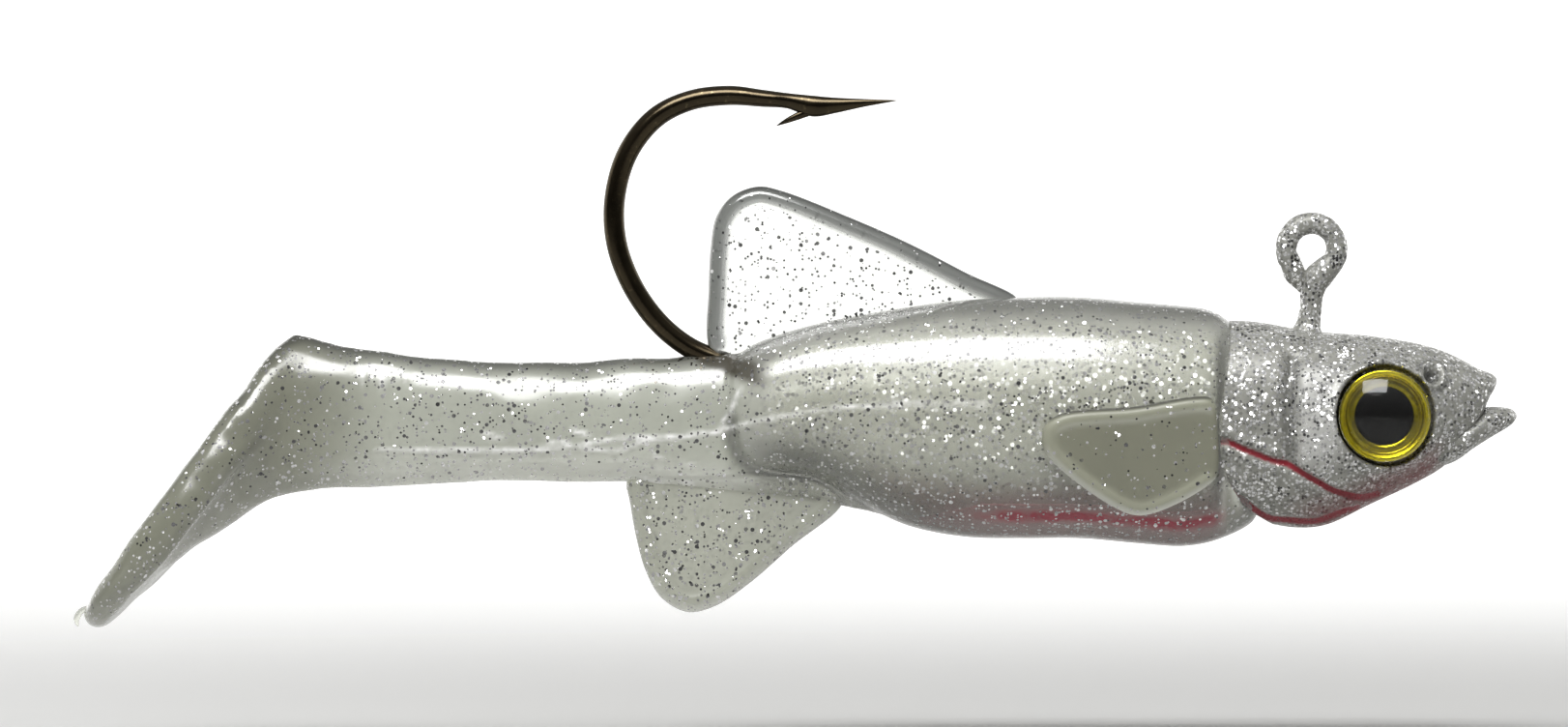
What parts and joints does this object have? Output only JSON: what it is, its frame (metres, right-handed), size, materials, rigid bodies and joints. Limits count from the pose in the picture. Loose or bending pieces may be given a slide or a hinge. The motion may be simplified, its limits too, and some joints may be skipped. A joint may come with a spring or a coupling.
{
  "type": "jig-head paddle-tail swimbait",
  "caption": "Lead jig head cast on a single upright hook, with a soft translucent glitter body, fins and a flexing boot tail.",
  "frame": {"origin": "centre of the line-tie ring on top of the head, in the lure's middle plane", "axes": "+X towards the nose along the lure, +Z towards the lure's back as it swims upright, -Y towards its right flank"},
  "size_m": [0.0991, 0.0162, 0.0383],
  "materials": {
    "silver_paint": "dense silver glitter paint under clear coat, red gill lines",
    "black_nickel": "polished dark bronze nickel plate",
    "gold_foil": "metallic gold foil, stepped ring",
    "black_gloss": "gloss black",
    "clear_lens": "clear cast resin dome",
    "clear_plastisol": "soft translucent plastisol with sparse silver and black glitter",
    "glitter_plastisol": "soft plastisol packed with fine silver glitter",
    "red_plastisol": "soft dark red plastisol"
  },
  "bodies": {
    "root": {"jig_head": "silver_paint", "hook": "black_nickel", "eye_ring_right": "gold_foil", "eye_ring_left": "gold_foil", "eye_pupil_right": "black_gloss", "eye_pupil_left": "black_gloss", "eye_dome_right": "clear_lens", "eye_dome_left": "clear_lens", "body_skin": "clear_plastisol", "body_core": "glitter_plastisol", "belly_stripe": "red_plastisol"},
    "dorsal": {"dorsal_fin": "clear_plastisol"},
    "anal": {"anal_fin": "clear_plastisol"},
    "pectoral_right": {"pectoral_fin_right": "clear_plastisol"},
    "pectoral_left": {"pectoral_fin_left": "clear_plastisol"},
    "tail_1": {"tail_segment_1": "clear_plastisol"},
    "tail_2": {"tail_segment_2": "clear_plastisol"},
    "tail_3": {"tail_segment_3": "clear_plastisol"},
    "paddle": {"tail_paddle": "clear_plastisol"}
  },
  "joints": [
    {"name": "tail_bend_1", "type": "hinge", "parent": "root", "child": "tail_1", "pos_m": [-0.0493, 0, -0.012], "axis": [0, 0, 1], "range_deg": [-25, 25], "stiffness_Nm_per_rad": 0.004},
    {"name": "tail_bend_2", "type": "hinge", "parent": "tail_1", "child": "tail_2", "pos_m": [-0.0553, 0, -0.012], "axis": [0, 0, 1], "range_deg": [-25, 25], "stiffness_Nm_per_rad": 0.004},
    {"name": "tail_bend_3", "type": "hinge", "parent": "tail_2", "child": "tail_3", "pos_m": [-0.0613, 0, -0.012], "axis": [0, 0, 1], "range_deg": [-25, 25], "stiffness_Nm_per_rad": 0.004},
    {"name": "paddle_swing", "type": "hinge", "parent": "tail_3", "child": "paddle", "pos_m": [-0.0674, 0, -0.012], "axis": [0, 0, 1], "range_deg": [-30, 30], "stiffness_Nm_per_rad": 0.002},
    {"name": "dorsal_fin_flex", "type": "hinge", "parent": "root", "child": "dorsal", "pos_m": [-0.0306, 0, -0.00438], "axis": [0.9885, 0, 0.151], "range_deg": [-30, 30], "stiffness_Nm_per_rad": 0.0005},
    {"name": "anal_fin_flex", "type": "hinge", "parent": "root", "child": "anal", "pos_m": [-0.0402, 0, -0.01735], "axis": [0.9941, 0, -0.1087], "range_deg": [-30, 30], "stiffness_Nm_per_rad": 0.0005},
    {"name": "pectoral_right_flex", "type": "hinge", "parent": "root", "child": "pectoral_right", "pos_m": [-0.0075, -0.0068, -0.013], "axis": [0.0073, -0.139, 0.9903], "range_deg": [0, 45], "stiffness_Nm_per_rad": 0.0003},
    {"name": "pectoral_left_flex", "type": "hinge", "parent": "root", "child": "pectoral_left", "pos_m": [-0.0075, 0.0068, -0.013], "axis": [-0.0073, -0.139, -0.9903], "range_deg": [0, 45], "stiffness_Nm_per_rad": 0.0003}
  ],
  "couplings": [
    {"joint": "tail_bend_2", "follows": "tail_bend_1", "ratio": 1},
    {"joint": "tail_bend_3", "follows": "tail_bend_1", "ratio": 1}
  ]
}
